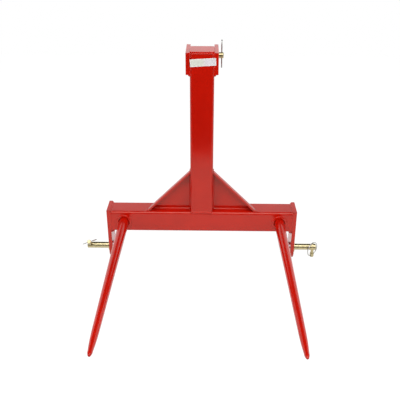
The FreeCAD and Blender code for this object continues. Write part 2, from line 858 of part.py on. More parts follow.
def check_document(parts):
    """Raises if a feature has failed or a sub-part has no sound solid."""
    for feature in DOCUMENT.Objects:
        if "Invalid" in feature.State or "Error" in feature.State:
            raise RuntimeError(f"{feature.Name} has failed: {feature.State}")
    for part in parts:
        if part.Shape.isNull() or not part.Shape.isValid() or len(part.Shape.Solids) != 1:
            raise RuntimeError(f"{part.Label} is not one sound solid")


def main():
    """Makes every sub-part, checks the document and writes one STEP file for each."""
    parts = [make() for make in SINGLE_PARTS]
    parts += [make(name) for make in PAIRED_PARTS for name in SIDES]
    DOCUMENT.recompute()
    check_document(parts)
    os.makedirs("parts", exist_ok=True)
    for part in parts:
        part.Shape.exportStep(f"parts/{part.Label}.step")


main()
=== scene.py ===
"""Looks of a bale spear: its paint and plating, its weld beads, its label and the studio.

Everything is in metres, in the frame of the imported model: +X to the right, the tines towards -Y
and +Z up, with the origin in the middle of the lower hitch pins' axis.
"""

from __future__ import annotations

import functools
import logging
import math
from dataclasses import dataclass
from enum import Enum
from typing import Any, Iterable

import bpy
from mathutils import Matrix, Vector


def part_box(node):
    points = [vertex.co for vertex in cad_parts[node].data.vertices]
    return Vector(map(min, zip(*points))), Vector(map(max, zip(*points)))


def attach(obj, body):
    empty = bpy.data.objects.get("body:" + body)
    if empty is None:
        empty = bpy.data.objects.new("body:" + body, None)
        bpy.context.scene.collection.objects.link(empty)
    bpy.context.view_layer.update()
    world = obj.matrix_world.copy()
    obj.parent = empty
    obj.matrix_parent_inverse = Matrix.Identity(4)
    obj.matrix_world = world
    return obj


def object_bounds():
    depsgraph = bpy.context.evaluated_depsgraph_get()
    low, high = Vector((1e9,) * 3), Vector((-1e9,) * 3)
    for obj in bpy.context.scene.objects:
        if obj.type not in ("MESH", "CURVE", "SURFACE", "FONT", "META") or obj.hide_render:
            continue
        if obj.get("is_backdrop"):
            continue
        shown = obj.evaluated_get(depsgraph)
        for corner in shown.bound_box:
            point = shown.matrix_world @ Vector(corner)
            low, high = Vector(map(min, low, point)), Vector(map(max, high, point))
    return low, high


log = logging.getLogger("bale_spear")
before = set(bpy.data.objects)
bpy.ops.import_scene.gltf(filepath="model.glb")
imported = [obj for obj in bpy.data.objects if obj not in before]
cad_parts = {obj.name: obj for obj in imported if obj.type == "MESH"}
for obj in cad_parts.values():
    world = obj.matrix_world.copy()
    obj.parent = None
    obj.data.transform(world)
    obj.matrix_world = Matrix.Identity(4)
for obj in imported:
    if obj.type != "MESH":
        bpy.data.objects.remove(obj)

MM = 0.001
BODY = "frame"
SIDES = {"left": -1.0, "right": 1.0}
SMOOTH_BELOW = math.radians(40.0)
Colour = tuple[float, float, float, float]


# ---------------------------------------------------------------------------
# Shader maths
# ---------------------------------------------------------------------------

class Value:
    """A number that varies over a surface: a shader socket that takes Python's operators."""

    def __init__(self, tree: "Tree", socket: bpy.types.NodeSocket) -> None:
        """Wraps a socket of a tree.

        Args:
            tree: The tree that the socket belongs to.
            socket: An output socket that carries a number.
        """
        self.tree = tree
        self.socket = socket

    def _math(self, operation: str, *terms: Any, **settings: Any) -> "Value":
        """Adds one Math node.

        Args:
            operation: The Math node's operation.
            terms: Its inputs, as numbers or Values.
            settings: Any further settings of the node.

        Returns:
            The node's result.
        """
        sockets = dict(enumerate(terms))
        node = self.tree.add("ShaderNodeMath", {"operation": operation, **settings}, sockets)
        return Value(self.tree, node.outputs[0])

    def __add__(self, other: Any) -> "Value":
        """self + other."""
        return self._math("ADD", self, other)

    __radd__ = __add__

    def __sub__(self, other: Any) -> "Value":
        """self - other."""
        return self._math("SUBTRACT", self, other)

    def __rsub__(self, other: Any) -> "Value":
        """other - self."""
        return self._math("SUBTRACT", other, self)

    def __mul__(self, other: Any) -> "Value":
        """self * other."""
        return self._math("MULTIPLY", self, other)

    __rmul__ = __mul__

    def clamped(self) -> "Value":
        """The value held between 0 and 1."""
        return self._math("ADD", self, 0.0, use_clamp=True)

    def either(self, other: "Value") -> "Value":
        """The larger of two values."""
        return self._math("MAXIMUM", self, other)

    def between(self, low: float, high: float) -> "Value":
        """A smooth step from 0 at low to 1 at high."""
        node = self.tree.add(
            "ShaderNodeMapRange",
            {"interpolation_type": "SMOOTHSTEP"},
            {"Value": self, "From Min": low, "From Max": high},
        )
        return Value(self.tree, node.outputs["Result"])


class Tree:
    """A node tree under construction."""

    def __init__(self, node_tree: bpy.types.NodeTree) -> None:
        """Empties the tree.

        Args:
            node_tree: The tree of a material or of the world.
        """
        self.nodes = node_tree.nodes
        self.links = node_tree.links
        self.nodes.clear()

    def add(
        self,
        kind: str,
        settings: dict[str, Any] | None = None,
        sockets: dict[Any, Any] | None = None,
    ) -> bpy.types.Node:
        """Adds one node.

        Args:
            kind: The node's type.
            settings: Its settings, set before its sockets.
            sockets: What its inputs hold, by name or number: a plain value, a Value, or an output
                socket of another node.

        Returns:
            The node.
        """
        node = self.nodes.new(kind)
        for name, value in (settings or {}).items():
            setattr(node, name, value)
        for key, value in (sockets or {}).items():
            if isinstance(value, Value):
                value = value.socket
            if isinstance(value, bpy.types.NodeSocket):
                self.links.new(value, node.inputs[key])
            else:
                node.inputs[key].default_value = value
        return node

    def place(self, scale: tuple[float, float, float] = (1.0, 1.0, 1.0)) -> Any:
        """The surface's place in the frame, stretched along the axes.

        Args:
            scale: How many times each axis is stretched.

        Returns:
            The socket of the stretched place.
        """
        place = self.add("ShaderNodeTexCoord").outputs["Object"]
        return self.add("ShaderNodeMapping", None, {"Vector": place, "Scale": scale}).outputs[0]

    def noise(self, place: Any, grain: float, detail: float = 2.0, rough: float = 0.5) -> Value:
        """Cloudy noise, about 0.5 on average.

        Args:
            place: The socket of the place to read the noise at.
            grain: The size of the clouds, in metres.
            detail: How many finer layers are added.
            rough: How strong the finer layers are.

        Returns:
            The noise.
        """
        sockets = {"Vector": place, "Scale": 1.0 / grain, "Detail": detail, "Roughness": rough}
        return Value(self, self.add("ShaderNodeTexNoise", None, sockets).outputs["Fac"])

    def mix(self, share: Any, first: Any, second: Any) -> Any:
        """Mixes two colours.

        Args:
            share: How much of the second colour is taken.
            first: The first colour, or its socket.
            second: The second colour, or its socket.

        Returns:
            The mixed colour's socket.
        """
        sockets = {"Factor": share, 6: first, 7: second}
        return self.add("ShaderNodeMix", {"data_type": "RGBA"}, sockets).outputs[2]

    def bump(self, height: Value, depth: float, strength: float = 1.0) -> Any:
        """Turns a height into a normal.

        Args:
            height: The height, from 0 to 1.
            depth: What a height of 1 is, in metres.
            strength: The bump's strength.

        Returns:
            The normal's socket.
        """
        sockets = {"Height": height, "Distance": depth, "Strength": strength}
        return self.add("ShaderNodeBump", None, sockets).outputs["Normal"]


def grey(level: float) -> Colour:
    """An opaque grey of that level."""
    return (level, level, level, 1.0)


# ---------------------------------------------------------------------------
# Finishes
# ---------------------------------------------------------------------------

class Finish:
    """A finish that can dress any piece.

    Its material is made once, when it is first used, and is never one that came with the frame,
    even where the two have the same name.
    """

    name: str

    def build(self, tree: Tree) -> None:
        """Adds the finish's nodes to an empty tree."""
        raise NotImplementedError

    @functools.cache
    def material(self) -> bpy.types.Material:
        """The finish's material."""
        made = bpy.data.materials.new(self.name)
        made.use_nodes = True
        self.build(Tree(made.node_tree))
        return made

    def dress(self, pieces: Iterable[bpy.types.Object]) -> None:
        """Puts the material on pieces, in place of what they had."""
        for piece in pieces:
            piece.data.materials.clear()
            piece.data.materials.append(self.material())
            log.info("%s: dressed in %s", piece.name, self.name)

    @staticmethod
    def surface(tree: Tree, sockets: dict[str, Any]) -> None:
        """Adds the surface shader and the output."""
        shader = tree.add("ShaderNodeBsdfPrincipled", None, sockets)
        tree.add("ShaderNodeOutputMaterial", None, {"Surface": shader.outputs["BSDF"]})


@dataclass(frozen=True)
class Enamel(Finish):
    """Glossy baked enamel, sprayed over steel.

    Attributes:
        name: The material's name.
        colour: The enamel's colour.
        thin: Its colour where the coat is thin.
        gloss: Its roughness where it is glossiest.
        peel: The size of the coat's ripples, in metres.
        stretch: How far the patches are drawn out along each axis.
    """

    name: str = "red_enamel"
    colour: Colour = (0.52, 0.0070, 0.0016, 1.0)
    thin: Colour = (0.43, 0.0050, 0.0014, 1.0)
    gloss: float = 0.14
    peel: float = 2.2 * MM
    stretch: tuple[float, float, float] = (1.0, 1.0, 1.0)

    def build(self, tree: Tree) -> None:
        """Adds a colour that drifts slowly, an uneven gloss and the spray's fine ripples."""
        place = tree.place(self.stretch)
        drift = tree.noise(place, grain=90 * MM, detail=3.0).between(0.35, 0.70)
        speckle = tree.noise(place, grain=3.5 * MM).between(0.62, 0.80)
        dusty = tree.noise(place, grain=35 * MM, detail=5.0, rough=0.65).between(0.45, 0.85)
        ripple = tree.noise(place, grain=self.peel, detail=1.0)
        slow = tree.noise(place, grain=14 * MM, detail=1.0)
        colour = tree.mix((drift * 0.55 + speckle * 0.25).clamped(), self.colour, self.thin)
        self.surface(tree, {
            "Base Color": colour,
            "Roughness": self.gloss + dusty * 0.07 + speckle * 0.04,
            "IOR": 1.5,
            "Specular Tint": (1.0, 0.96, 0.80, 1.0),
            "Normal": tree.bump(ripple * 0.45 + slow * 0.55, depth=0.05 * MM, strength=0.55),
        })


class Passivation(Enum):
    """What the zinc is dipped in: the main colour and the colour of the patches."""

    CLEAR = ((0.66, 0.67, 0.68, 1.0), (0.50, 0.54, 0.60, 1.0))
    YELLOW = ((0.54, 0.46, 0.27, 1.0), (0.38, 0.33, 0.17, 1.0))


@dataclass(frozen=True)
class ZincPlate(Finish):
    """Electroplated zinc, passivated.

    Attributes:
        name: The material's name.
        passivation: What it is dipped in.
        gloss: Its roughness where it is brightest.
        blush: How the rosy patches differ from the main colour, as a share of each channel.
        turned: How far the turned metal's lines are drawn together along each axis.
    """

    name: str
    passivation: Passivation
    gloss: float = 0.22
    blush: Colour = (0.96, 0.80, 0.82, 1.0)
    turned: tuple[float, float, float] = (6.0, 1.0, 1.0)

    def build(self, tree: Tree) -> None:
        """Adds the patchy tint of the bath, the turned metal's fine lines and small dull spots."""
        main, patch = self.passivation.value
        place = tree.place()
        tint = tree.noise(place, grain=9 * MM, detail=3.0, rough=0.6).between(0.38, 0.68)
        blush = tree.noise(place, grain=4 * MM).between(0.55, 0.75)
        turned = tree.place(self.turned)
        lines = tree.noise(turned, grain=2.4 * MM, detail=3.0, rough=0.7)
        spots = tree.noise(place, grain=1.6 * MM).between(0.60, 0.74)
        rose = tuple(a * b for a, b in zip(main, self.blush))
        colour = tree.mix(tint * 0.8, main, patch)
        self.surface(tree, {
            "Base Color": tree.mix(blush * 0.35, colour, rose),
            "Metallic": 1.0,
            "Roughness": self.gloss + tint * 0.10 + spots * 0.12,
            "Normal": tree.bump(lines, depth=0.02 * MM, strength=0.5),
        })


@dataclass(frozen=True)
class SpringSteel(Finish):
    """Hard drawn wire, bright but a little stained.

    Attributes:
        name: The material's name.
        colour: The bare wire's colour.
        stain: Its colour where it is stained.
    """

    name: str = "spring_steel"
    colour: Colour = (0.52, 0.52, 0.50, 1.0)
    stain: Colour = (0.30, 0.28, 0.25, 1.0)

    def build(self, tree: Tree) -> None:
        """Adds stains and the drawing marks of the wire."""
        place = tree.place()
        stained = tree.noise(place, grain=6 * MM, detail=4.0, rough=0.6).between(0.48, 0.72)
        marks = tree.noise(place, grain=0.7 * MM)
        self.surface(tree, {
            "Base Color": tree.mix(stained * 0.7, self.colour, self.stain),
            "Metallic": 1.0,
            "Roughness": 0.24 + stained * 0.18,
            "Normal": tree.bump(marks, depth=0.02 * MM, strength=0.4),
        })


@dataclass(frozen=True)
class BlankVinyl(Finish):
    """A blank printed label: white vinyl with a bare panel in two pale tints.

    Attributes:
        name: The material's name.
        white: The vinyl's colour, which shows as a border.
        warm: The panel's colour on the left.
        cool: The panel's colour on the right.
        panel: The panel's half width and half height, in metres.
        centre: The panel's middle in X and Z, in metres.
        tilt: How far the label leans out of level, in radians.
        edge: Half the width of the panel's soft edge, in metres.
        fade: Where the warm tint begins and ends turning cool, from the middle, in metres.
    """

    name: str = "blank_vinyl"
    white: Colour = (0.86, 0.84, 0.82, 1.0)
    warm: Colour = (0.66, 0.69, 0.59, 1.0)
    cool: Colour = (0.70, 0.67, 0.70, 1.0)
    panel: tuple[float, float] = (38.4 * MM, 10.2 * MM)
    centre: tuple[float, float] = (0.0, 0.0)
    tilt: float = 0.0
    edge: float = 0.6 * MM
    fade: tuple[float, float] = (-6 * MM, 12 * MM)

    def build(self, tree: Tree) -> None:
        """Adds the panel with soft edges, a faint yellowing and the vinyl's unevenness."""
        place = tree.place()
        split = tree.add("ShaderNodeSeparateXYZ", None, {0: place})
        right = Value(tree, split.outputs["X"]) - self.centre[0]
        up = Value(tree, split.outputs["Z"]) - self.centre[1]
        along = right * math.cos(self.tilt) + up * math.sin(self.tilt)
        across = up * math.cos(self.tilt) - right * math.sin(self.tilt)
        inside = self.within(along, self.panel[0]) * self.within(across, self.panel[1])
        aged = tree.noise(place, grain=12 * MM, detail=3.0).between(0.4, 0.8)
        bubbles = tree.noise(place, grain=3 * MM, detail=1.0)
        tint = tree.mix(along.between(*self.fade), self.warm, self.cool)
        self.surface(tree, {
            "Base Color": tree.mix(inside * 0.85 + aged * 0.05, self.white, tint),
            "Roughness": 0.34 + aged * 0.1,
            "Normal": tree.bump(bubbles, depth=0.05 * MM, strength=0.4),
        })

    def within(self, place: Value, reach: float) -> Value:
        """1 within a reach of the middle and 0 beyond it, with a soft edge."""
        return 1.0 - place.either(place * -1.0).between(reach - self.edge, reach + self.edge)


RED_ENAMEL = Enamel()
TINE_ENAMEL = Enamel(
    name="tine_enamel",
    colour=(0.54, 0.0070, 0.0016, 1.0),
    thin=(0.44, 0.0050, 0.0014, 1.0),
    gloss=0.12,
    stretch=(1.0, 0.25, 1.0),
)
CLEAR_ZINC = ZincPlate("clear_zinc_plate", Passivation.CLEAR)
YELLOW_ZINC = ZincPlate("yellow_zinc_plate", Passivation.YELLOW)
SPRING_WIRE = SpringSteel()


# ---------------------------------------------------------------------------
# Modelling helpers
# ---------------------------------------------------------------------------

def deselect() -> None:
    """Leaves object mode with nothing selected."""
    if bpy.context.mode != "OBJECT":
        bpy.ops.object.mode_set(mode="OBJECT")
    bpy.ops.object.select_all(action="DESELECT")


def apply_modifiers(piece: bpy.types.Object) -> None:
    """Applies every modifier of the active piece, in order."""
    for modifier in list(piece.modifiers):
        bpy.ops.object.modifier_apply(modifier=modifier.name)


def finish_piece(piece: bpy.types.Object, name: str, finish: Finish) -> None:
    """Names, dresses and mounts a finished piece.

    Args:
        piece: The active object. Its place goes into its mesh.
        name: The piece's name.
        finish: What it is dressed in.
    """
    bpy.ops.object.transform_apply(location=True, rotation=True, scale=True)
    bpy.ops.object.shade_smooth_by_angle(angle=SMOOTH_BELOW)
    piece.name = name
    piece.data.name = name
    finish.dress([piece])
    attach(piece, BODY)
    log.info("%s: %d faces", name, len(piece.data.polygons))


# ---------------------------------------------------------------------------
# Welds
# ---------------------------------------------------------------------------

@dataclass
class Bead:
    """What all weld beads share.

    Attributes:
        pitch: How far the torch moves from one ripple to the next, as a share of the leg.
        flatness: How long a ripple is along the seam, as a share of its width.
        voxel: The mesh size of a finished bead, as a share of the leg.
        unevenness: How far the bead strays from its line, as a share of the leg.
        wave: The size of those strays along the bead, as a share of the leg.
    """

    pitch: float = 0.50
    flatness: float = 0.62
    voxel: float = 0.16
    unevenness: float = 0.16
    wave: float = 1.6

    def start(self, centre: Vector, leg: float, along: Vector) -> bpy.types.Object:
        """Adds one ripple: a flattened ball, tilted along the seam.

        Args:
            centre: The ripple's middle.
            leg: The fillet's leg.
            along: The way the torch moves.

        Returns:
            The active object.
        """
        deselect()
        bpy.ops.mesh.primitive_uv_sphere_add(segments=16, ring_count=10, radius=leg)
        ripple = bpy.context.object
        bpy.ops.object.mode_set(mode="EDIT")
        bpy.ops.transform.resize(value=(1.0, 1.0, self.flatness))
        bpy.ops.object.mode_set(mode="OBJECT")
        ripple.rotation_euler = along.to_track_quat("Z", "Y").to_euler()
        ripple.location = centre
        bpy.ops.object.transform_apply(location=True, rotation=True, scale=True)
        return ripple

    def fuse(self, bead: bpy.types.Object, leg: float, seed: int) -> None:
        """Melts the ripples into one skin and makes it a little uneven.

        Args:
            bead: The active object, made of overlapping ripples.
            leg: The fillet's leg.
            seed: The number that the unevenness starts from.
        """
        remesh = bead.modifiers.new("skin", "REMESH")
        remesh.mode = "VOXEL"
        remesh.voxel_size = leg * self.voxel
        clouds = bpy.data.textures.new(f"clouds_{seed}", "CLOUDS")
        clouds.noise_scale = leg * self.wave
        stray = bead.modifiers.new("stray", "DISPLACE")
        stray.texture = clouds
        stray.texture_coords = "LOCAL"
        stray.mid_level = 0.5
        stray.strength = leg * self.unevenness
        apply_modifiers(bead)


@dataclass
class Seam(Bead):
    """A straight weld bead.

    Attributes:
        name: The piece's name.
        begin: Where it begins.
        end: Where it ends.
        leg: Its size.
    """

    name: str = ""
    begin: tuple[float, float, float] = (0.0, 0.0, 0.0)
    end: tuple[float, float, float] = (0.0, 0.0, 0.0)
    leg: float = 5 * MM

    def build(self, finish: Finish, seed: int) -> None:
        """Lays the bead.

        Args:
            finish: What it is painted with.
            seed: The number that its unevenness starts from.
        """
        begin, end = Vector(self.begin), Vector(self.end)
        run = end - begin
        count = max(2, round(run.length / (self.leg * self.pitch)))
        bead = self.start(begin, self.leg, run.normalized())
        row = bead.modifiers.new("row", "ARRAY")
        row.count = count + 1
        row.use_relative_offset = False
        row.use_constant_offset = True
        row.constant_offset_displace = run / count
        apply_modifiers(bead)
        self.fuse(bead, self.leg, seed)
        finish_piece(bead, self.name, finish)


@dataclass
class Collar(Bead):
    """A weld bead round a sleeve, about an axis along Y.

    Attributes:
        name: The piece's name.
        centre: The ring's middle.
        radius: The ring's radius.
        leg: Its size.
    """

    name: str = ""
    centre: tuple[float, float, float] = (0.0, 0.0, 0.0)
    radius: float = 25 * MM
    leg: float = 3 * MM

    def build(self, finish: Finish, seed: int) -> None:
        """Lays the bead round the sleeve.

        Args:
            finish: What it is painted with.
            seed: The number that its unevenness starts from.
        """
        centre = Vector(self.centre)
        count = round(math.tau * self.radius / (self.leg * self.pitch))
        first = centre + Vector((self.radius, 0.0, 0.0))
        bead = self.start(first, self.leg, Vector((0.0, 0.0, 1.0)))
        bpy.ops.object.mode_set(mode="EDIT")
        bpy.ops.mesh.select_all(action="SELECT")
        bpy.ops.mesh.spin(
            steps=count - 1,
            dupli=True,
            angle=math.tau * (count - 1) / count,
            center=centre,
            axis=(0.0, 1.0, 0.0),
        )
        bpy.ops.object.mode_set(mode="OBJECT")
        self.fuse(bead, self.leg, seed)
        finish_piece(bead, self.name, finish)


# ---------------------------------------------------------------------------
# Sub-assemblies
# ---------------------------------------------------------------------------

@dataclass(frozen=True)
class Fillet:
    """How one kind of straight weld is laid along an edge.

    Attributes:
        leg: Its size.
        short: How far it stops short of the edge's two ends.
        sunk: How far its middle lies under the surface that it closes.
    """

    leg: float
    short: tuple[float, float]
    sunk: float = 0.0


@dataclass
class WeldedFrame:
    """The painted weldment: crossbeam, mast, head, gussets, end plates and tine sleeves.

    Attributes:
        enamel: Its paint.
        web: The thickness of a gusset's plate.
        bite: How far a bead's middle is drawn into the piece beside its joint.
        mast_foot: The welds in front of and behind the mast's foot.
        mast_cap: The welds under the mast's cap.
        gusset_leg: The welds along a gusset's legs, from the corner outwards.
        gusset_flange: The welds across the ends of a gusset's flange, from front to back.
        ear_under: The weld under an ear.
        ear_behind: The weld up the back of an ear.
        ear_front: The weld up the front of an ear.
        label_gap: Where the label interrupts ear_front: its foot and its head, under the mast's top.
        plate_top: The weld over the joint of crossbeam and end plate.
        plate_under: The weld under that joint.
        plate_edge: The flush welds in front of it and behind it.
        sleeve_leg: The leg of the welds round a sleeve.
    """

    enamel: Enamel = RED_ENAMEL
    web: float = 6.35 * MM
    bite: float = 1 * MM
    mast_foot: Fillet = Fillet(leg=5 * MM, short=(5 * MM, 5 * MM), sunk=3.2 * MM)
    mast_cap: Fillet = Fillet(leg=2.6 * MM, short=(5 * MM, 5 * MM), sunk=1.612 * MM)
    gusset_leg: Fillet = Fillet(leg=5 * MM, short=(4 * MM, 16 * MM))
    gusset_flange: Fillet = Fillet(leg=3.4 * MM, short=(2 * MM, 8 * MM), sunk=1 * MM)
    ear_under: Fillet = Fillet(leg=6 * MM, short=(3 * MM, 3 * MM))
    ear_behind: Fillet = Fillet(leg=5 * MM, short=(4 * MM, 3 * MM), sunk=2 * MM)
    ear_front: Fillet = Fillet(leg=4.2 * MM, short=(3 * MM, 2 * MM), sunk=3.4 * MM)
    label_gap: tuple[float, float] = (42 * MM, 11 * MM)
    plate_top: Fillet = Fillet(leg=3.6 * MM, short=(5 * MM, 5 * MM), sunk=0.6 * MM)
    plate_under: Fillet = Fillet(leg=11 * MM, short=(12 * MM, 12 * MM), sunk=0.6 * MM)
    plate_edge: Fillet = Fillet(leg=3.4 * MM, short=(4 * MM, 4 * MM), sunk=2.4 * MM)
    sleeve_leg: float = 3 * MM

    NODES = ("crossbeam", "mast", "mast_cap")
    PAIRS = ("ear", "gusset", "end_plate", "tine_sleeve")

    def dress(self) -> None:
        """Paints the weldment's solids."""
        names = [*self.NODES, *(f"{pair}_{side}" for pair in self.PAIRS for side in SIDES)]
        self.enamel.dress(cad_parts[name] for name in names)

    def mast_seams(self) -> list[Seam | Collar]:
        """The beads round the mast's foot and under its cap."""
        low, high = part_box("mast")
        seams: list[Seam | Collar] = []
        joints = (("foot", low.z - self.bite, self.mast_foot), ("cap", high.z, self.mast_cap))
        for name, y, inward in (("front", low.y, 1.0), ("back", high.y, -1.0)):
            for place, z, weld in joints:
                depth = y + inward * weld.sunk
                seams.append(Seam(
                    name=f"weld_mast_{place}_{name}",
                    begin=(low.x + weld.short[0], depth, z),
                    end=(high.x - weld.short[1], depth, z),
                    leg=weld.leg,
                ))
        return seams

    def side_seams(self, side: str) -> list[Seam | Collar]:
        """The beads of one gusset, one ear, one end plate and one sleeve.

        Args:
            side: The side's name.

        Returns:
            The beads.
        """
        return [
            *self._gusset_seams(side),
            *self._ear_seams(side),
            *self._plate_seams(side),
            *self._sleeve_seams(side),
        ]

    def _gusset_seams(self, side: str) -> list[Seam]:
        """The beads along a gusset's two legs and across the ends of its flange."""
        way = SIDES[side]
        low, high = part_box(f"gusset_{side}")
        inner, outer = (low.x, high.x) if way > 0 else (high.x, low.x)
        weld = self.gusset_leg
        at_corner, at_tip = weld.short
        seams = []
        for name, y in (("front", high.y - self.web), ("back", high.y)):
            seams.append(Seam(
                name=f"weld_gusset_foot_{name}_{side}",
                begin=(inner + way * at_corner, y, low.z),
                end=(outer - way * at_tip, y, low.z),
                leg=weld.leg,
            ))
            seams.append(Seam(
                name=f"weld_gusset_mast_{name}_{side}",
                begin=(inner, y, low.z + at_corner),
                end=(inner, y, high.z - at_tip),
                leg=weld.leg,
            ))
        across = self.gusset_flange
        ends = (("toe", outer - way * across.sunk, low.z), ("top", inner, high.z - across.sunk))
        for name, x, z in ends:
            seams.append(Seam(
                name=f"weld_gusset_{name}_{side}",
                begin=(x, low.y + across.short[0], z),
                end=(x, high.y - across.short[1], z),
                leg=across.leg,
            ))
        return seams

    def _ear_seams(self, side: str) -> list[Seam]:
        """The beads that hold an ear to the mast's side. The front one leaves the label free."""
        way = SIDES[side]
        mast_low, mast_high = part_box("mast")
        low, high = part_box(f"ear_{side}")
        wall = mast_high.x if way > 0 else mast_low.x
        inside = wall - way * self.bite
        under, behind, front = self.ear_under, self.ear_behind, self.ear_front
        behind_y = mast_high.y - behind.sunk
        front_y = mast_low.y + front.sunk
        label_foot, label_head = (mast_high.z - drop for drop in self.label_gap)
        return [
            Seam(
                name=f"weld_ear_under_{side}",
                begin=(wall, mast_low.y + under.short[0], low.z),
                end=(wall, mast_high.y - under.short[1], low.z),
                leg=under.leg,
            ),
            Seam(
                name=f"weld_ear_behind_{side}",
                begin=(inside, behind_y, low.z + behind.short[0]),
                end=(inside, behind_y, mast_high.z - behind.short[1]),
                leg=behind.leg,
            ),
            Seam(
                name=f"weld_ear_front_low_{side}",
                begin=(inside, front_y, low.z + front.short[0]),
                end=(inside, front_y, label_foot),
                leg=front.leg,
            ),
            Seam(
                name=f"weld_ear_front_high_{side}",
                begin=(inside, front_y, label_head),
                end=(inside, front_y, high.z - front.short[1]),
                leg=front.leg,
            ),
        ]

    def _plate_seams(self, side: str) -> list[Seam]:
        """The beads between the crossbeam's end and its end plate."""
        way = SIDES[side]
        low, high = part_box("crossbeam")
        wall = high.x if way > 0 else low.x
        seams = []
        for name, z, weld in (("top", high.z, self.plate_top), ("under", low.z, self.plate_under)):
            joint = wall - way * weld.sunk
            seams.append(Seam(
                name=f"weld_plate_{name}_{side}",
                begin=(joint, low.y + weld.short[0], z),
                end=(joint, high.y - weld.short[1], z),
                leg=weld.leg,
            ))
        edge = self.plate_edge
        inside = wall - way * self.bite
        for name, y, inward in (("front", low.y, 1.0), ("back", high.y, -1.0)):
            depth = y + inward * edge.sunk
            seams.append(Seam(
                name=f"weld_plate_{name}_{side}",
                begin=(inside, depth, low.z + edge.short[0]),
                end=(inside, depth, high.z - edge.short[1]),
                leg=edge.leg,
            ))
        return seams

    def _sleeve_seams(self, side: str) -> list[Collar]:
        """The beads round a tine's sleeve."""
        low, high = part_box("crossbeam")
        sleeve_low, sleeve_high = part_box(f"tine_sleeve_{side}")
        middle = (sleeve_low + sleeve_high) / 2.0
        radius = (sleeve_high.x - sleeve_low.x) / 2.0
        return [
            Collar(
                name=f"weld_sleeve_{name}_{side}",
                centre=(middle.x, y, middle.z),
                radius=radius,
                leg=self.sleeve_leg,
            )
            for name, y in (("front", low.y), ("back", high.y))
        ]

    def build(self) -> None:
        """Paints the solids and lays every bead."""
        self.dress()
        seams = self.mast_seams()
        for side in SIDES:
            seams.extend(self.side_seams(side))
        for seed, seam in enumerate(seams, start=1):
            seam.build(self.enamel, seed)


@dataclass
class Tines:
    """The two forged tines and what draws them into their seats.

    Attributes:
        paint: The tines' paint. The forging's length is drawn out along Y.
        plating: The finish of the washers and nuts.
    """

    paint: Enamel = TINE_ENAMEL
    plating: ZincPlate = CLEAR_ZINC

    def build(self) -> None:
        """Dresses the tines, washers and nuts."""
        for side in SIDES:
            self.paint.dress([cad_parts[f"tine_{side}"]])
            names = (f"tine_washer_{side}", f"tine_nut_{side}")
            self.plating.dress(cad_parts[name] for name in names)


@dataclass
class HitchPins:
    """The lower hitch pins, their nuts and washers, and the lynch pins with their rings.

    Attributes:
        yellow: The pins' plating.
        clear: The nuts' plating.
        wire: The rings' finish.
    """

    yellow: ZincPlate = YELLOW_ZINC
    clear: ZincPlate = CLEAR_ZINC
    wire: SpringSteel = SPRING_WIRE

    def build(self) -> None:
        """Dresses the hardware at both ends of the crossbeam."""
        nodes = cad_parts
        for side in SIDES:
            self.yellow.dress([nodes[f"hitch_pin_{side}"], nodes[f"lynch_pin_{side}"]])
            self.clear.dress([nodes[f"hitch_nut_{side}"], nodes[f"lock_washer_{side}"]])
            self.wire.dress([nodes[f"lynch_ring_{side}"]])


@dataclass
class Head:
    """The top link pin with its clip, and the blank label on the front of the head.

    Attributes:
        yellow: The pin's plating.
        wire: The clip's finish.
        width: The label's width.
        height: The label's height.
        tilt: How far it was stuck on out of level, in degrees.
        centre_x: Its middle, from the mast's middle.
        below_cap: How far its middle lies under the top of the mast.
        thickness: The vinyl's thickness.
        corner: The radius of its corners.
        corner_steps: How many flats a corner has.
    """

    yellow: ZincPlate = YELLOW_ZINC
    wire: SpringSteel = SPRING_WIRE
    width: float = 80 * MM
    height: float = 23.5 * MM
    tilt: float = 3.4
    centre_x: float = 2.9 * MM
    below_cap: float = 26.3 * MM
    thickness: float = 0.3 * MM
    corner: float = 1.5 * MM
    corner_steps: int = 4

    def build_label(self) -> None:
        """Cuts the label from a flat grid, rounds its corners and gives it its thickness."""
        low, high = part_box("mast")
        deselect()
        bpy.ops.mesh.primitive_plane_add(size=1.0)
        label = bpy.context.object
        bpy.ops.object.mode_set(mode="EDIT")
        bpy.ops.transform.resize(value=(self.width, self.height, 1.0))
        bpy.ops.mesh.bevel(offset=self.corner, segments=self.corner_steps, affect="VERTICES")
        bpy.ops.object.mode_set(mode="OBJECT")
        label.rotation_euler = (math.radians(90.0), math.radians(-self.tilt), 0.0)
        centre_z = high.z - self.below_cap
        label.location = (self.centre_x, low.y - self.thickness, centre_z)
        solid = label.modifiers.new("thickness", "SOLIDIFY")
        solid.thickness = self.thickness
        solid.offset = -1.0
        apply_modifiers(label)
        vinyl = BlankVinyl(centre=(self.centre_x, centre_z), tilt=math.radians(self.tilt))
        finish_piece(label, "head_label", vinyl)

    def build(self) -> None:
        """Dresses the pin and the clip and sticks the label on."""
        self.yellow.dress([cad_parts["top_pin"]])
        self.wire.dress([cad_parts["top_pin_clip"]])
        self.build_label()


# ---------------------------------------------------------------------------
# Studio
# ---------------------------------------------------------------------------

@dataclass(frozen=True)
class Softbox:
    """A rectangular studio lamp.

    Attributes:
        name: Its name.
        place: Where it hangs.
        target: What it points at.
        size: Its width and height.
        power: Its power, in watts.
    """

    name: str
    place: tuple[float, float, float]
    target: tuple[float, float, float]
    size: tuple[float, float]
    power: float

    def build(self) -> None:
        """Hangs the lamp."""
        light = bpy.data.lights.new(self.name, "AREA")
        light.shape = "RECTANGLE"
        light.size, light.size_y = self.size
        light.energy = self.power
        lamp = bpy.data.objects.new(self.name, light)
        bpy.context.scene.collection.objects.link(lamp)
        lamp.location = self.place
        aim = Vector(self.target) - Vector(self.place)
        lamp.rotation_euler = aim.to_track_quat("-Z", "Y").to_euler()


